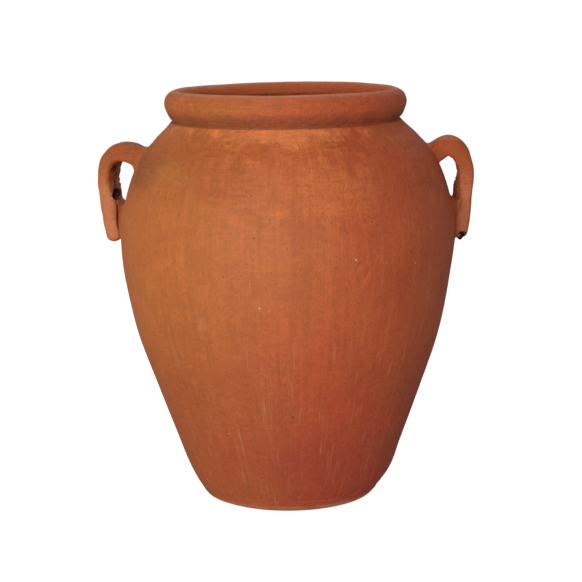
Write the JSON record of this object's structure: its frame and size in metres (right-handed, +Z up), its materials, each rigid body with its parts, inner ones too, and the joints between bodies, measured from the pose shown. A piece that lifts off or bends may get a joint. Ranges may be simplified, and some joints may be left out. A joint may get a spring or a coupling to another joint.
{
  "type": "terracotta amphora",
  "caption": "Large round terracotta jar with a narrow foot, full shoulder, short neck, rolled rim and a strap handle on each side; open at the top and standing on a flat base.",
  "frame": {"origin": "centre of the flat underside, on the jar's axis", "axes": "+Z up along the jar's axis, +X towards the right handle, -Y towards the viewer"},
  "size_m": [0.4584, 0.4066, 0.5],
  "materials": {
    "base_clay": "matte",
    "lower_wall_clay": "matte",
    "belly_clay": "matte",
    "shoulder_clay": "matte",
    "neck_clay": "matte",
    "rim_clay": "matte",
    "handle_clay": "matte",
    "luting_clay": "matte"
  },
  "bodies": {
    "root": {"base_slab": "base_clay", "lower_wall": "lower_wall_clay", "belly_wall": "belly_clay", "shoulder_wall": "shoulder_clay", "neck_collar": "neck_clay", "rim_roll": "rim_clay", "left_handle": "handle_clay", "left_top_luting": "luting_clay", "left_bottom_luting": "luting_clay", "right_handle": "handle_clay", "right_top_luting": "luting_clay", "right_bottom_luting": "luting_clay"}
  },
  "joints": []
}
